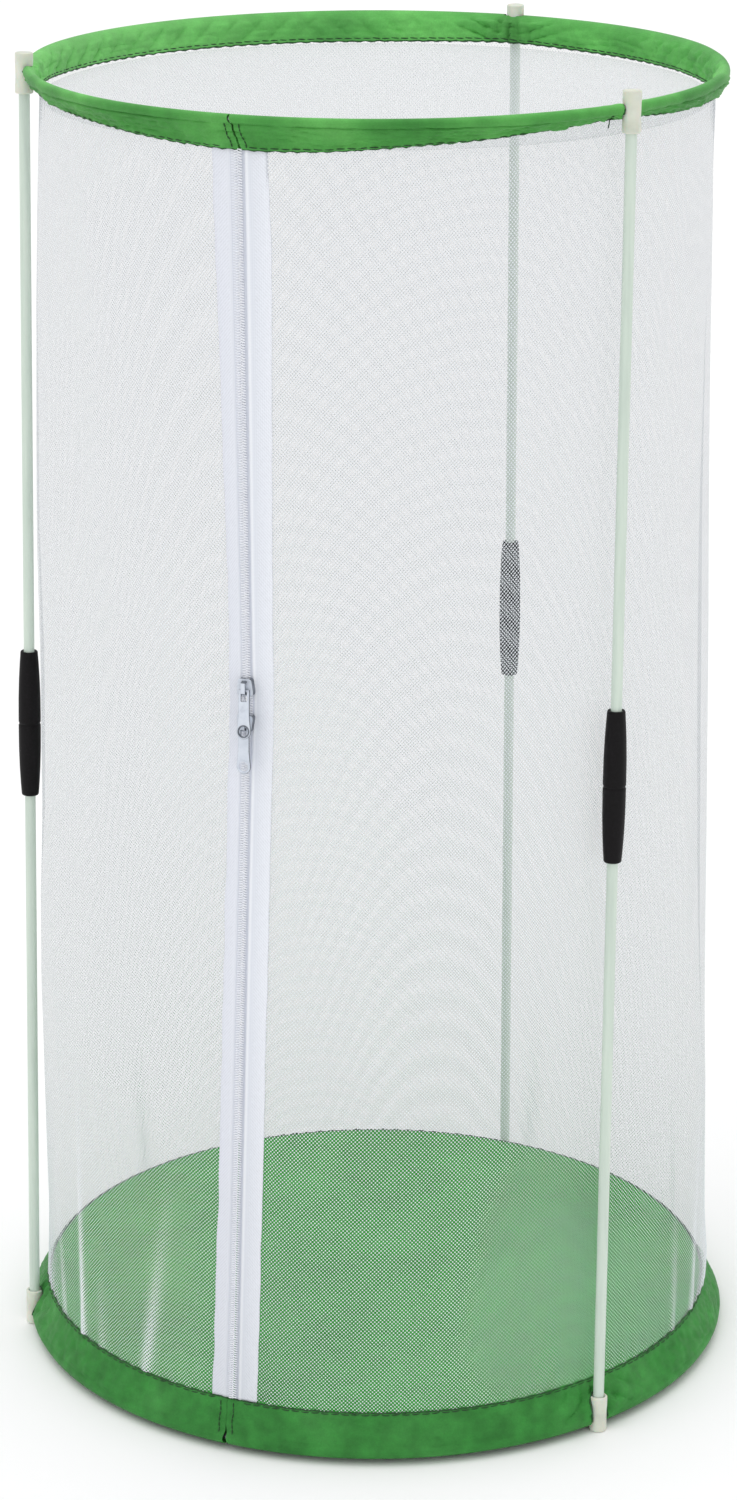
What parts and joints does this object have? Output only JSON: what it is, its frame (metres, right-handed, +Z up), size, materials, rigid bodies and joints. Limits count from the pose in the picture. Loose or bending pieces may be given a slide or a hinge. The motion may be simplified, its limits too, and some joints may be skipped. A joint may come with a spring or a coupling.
{
  "type": "insect cage",
  "caption": "Round pop-up insect cage of white net on two wire hoops in green cloth sleeves, held open by rods, with a zip up the front",
  "frame": {"origin": "on the ground under the middle of the cage", "axes": "+Z up along the cage, -Y to the front, where the viewer stands, +X to the viewer's right"},
  "size_m": [0.3409, 0.3396, 0.6172],
  "materials": {
    "steel": "drawn spring wire",
    "top_cloth": "smooth coated green cloth, folded and sewn",
    "bottom_cloth": "smooth coated green cloth, folded and sewn",
    "net": "fine white knitted net that is seen through",
    "tape": "white woven zip tape",
    "coil": "white coil",
    "slider": "white enamel on cast metal",
    "connector": "milky moulded plastic",
    "rod": "pale mint pultruded rod",
    "ferrule": "black moulded plastic"
  },
  "bodies": {
    "base": {"bottom_hoop_wire": "steel", "bottom_hoop_crimp": "steel", "bottom_sleeve": "bottom_cloth", "floor_cloth": "bottom_cloth", "net_wall": "net", "zip_tape_left": "tape", "zip_tape_right": "tape"},
    "top": {"top_hoop_wire": "steel", "top_hoop_crimp": "steel", "top_sleeve": "top_cloth", "top_net": "net", "top_connector_left": "connector", "top_connector_right": "connector", "top_connector_back": "connector"},
    "rod_left": {"bottom_connector_left": "connector", "lower_rod_left": "rod", "ferrule_left": "ferrule", "upper_rod_left": "rod"},
    "rod_right": {"bottom_connector_right": "connector", "lower_rod_right": "rod", "ferrule_right": "ferrule", "upper_rod_right": "rod"},
    "rod_back": {"bottom_connector_back": "connector", "lower_rod_back": "rod", "ferrule_back": "ferrule", "upper_rod_back": "rod"},
    "zip_chain": {"zip_coil_left": "coil", "zip_coil_right": "coil"},
    "upper_slider": {"upper_slider": "slider"},
    "upper_pull": {"upper_pull": "slider"},
    "lower_slider": {"lower_slider": "slider"},
    "lower_pull": {"lower_pull": "slider"}
  },
  "joints": [
    {"name": "top_collapse", "type": "slide", "parent": "base", "child": "top", "axis": [0, 0, 1], "range_m": [-0.52, 0], "deforming": ["net_wall", "zip_tape_left", "zip_tape_right"]},
    {"name": "rod_left_swing", "type": "hinge", "parent": "base", "child": "rod_left", "pos_m": [-0.16531, -0.02147, 0.006], "axis": [0.1288, -0.9917, 0], "range_deg": [0, 89]},
    {"name": "rod_right_swing", "type": "hinge", "parent": "base", "child": "rod_right", "pos_m": [0.10217, -0.13172, 0.006], "axis": [0.7902, 0.6129, 0], "range_deg": [0, 89]},
    {"name": "rod_back_swing", "type": "hinge", "parent": "base", "child": "rod_back", "pos_m": [0.0678, 0.15229, 0.006], "axis": [-0.9135, 0.4067, 0], "range_deg": [0, 89]},
    {"name": "zip_chain_drop", "type": "slide", "parent": "base", "child": "zip_chain", "axis": [0, 0, 1], "range_m": [-0.302, 0], "deforming": ["zip_coil_left", "zip_coil_right"]},
    {"name": "upper_slider_run", "type": "slide", "parent": "zip_chain", "child": "upper_slider", "axis": [-0.0071, 0.0182, 0.9998], "range_m": [0, 0.22]},
    {"name": "upper_pull_flip", "type": "hinge", "parent": "upper_slider", "child": "upper_pull", "pos_m": [-0.05704, -0.14899, 0.36436], "axis": [-0.9304, 0.3663, -0.0133], "range_deg": [0, 160]},
    {"name": "lower_slider_run", "type": "slide", "parent": "zip_chain", "child": "lower_slider", "axis": [-0.029, -0.0035, -0.9996], "range_m": [0, 0.3]},
    {"name": "lower_pull_flip", "type": "hinge", "parent": "lower_slider", "child": "lower_pull", "pos_m": [-0.05733, -0.14912, 0.34806], "axis": [-0.9238, 0.3821, 0.0255], "range_deg": [0, 30]}
  ],
  "couplings": [
    {"joint": "rod_left_swing", "follows": "top_collapse", "rad_per_m": -2.987},
    {"joint": "rod_right_swing", "follows": "top_collapse", "rad_per_m": -2.987},
    {"joint": "rod_back_swing", "follows": "top_collapse", "rad_per_m": -2.987},
    {"joint": "zip_chain_drop", "follows": "top_collapse", "ratio": 0.58}
  ]
}
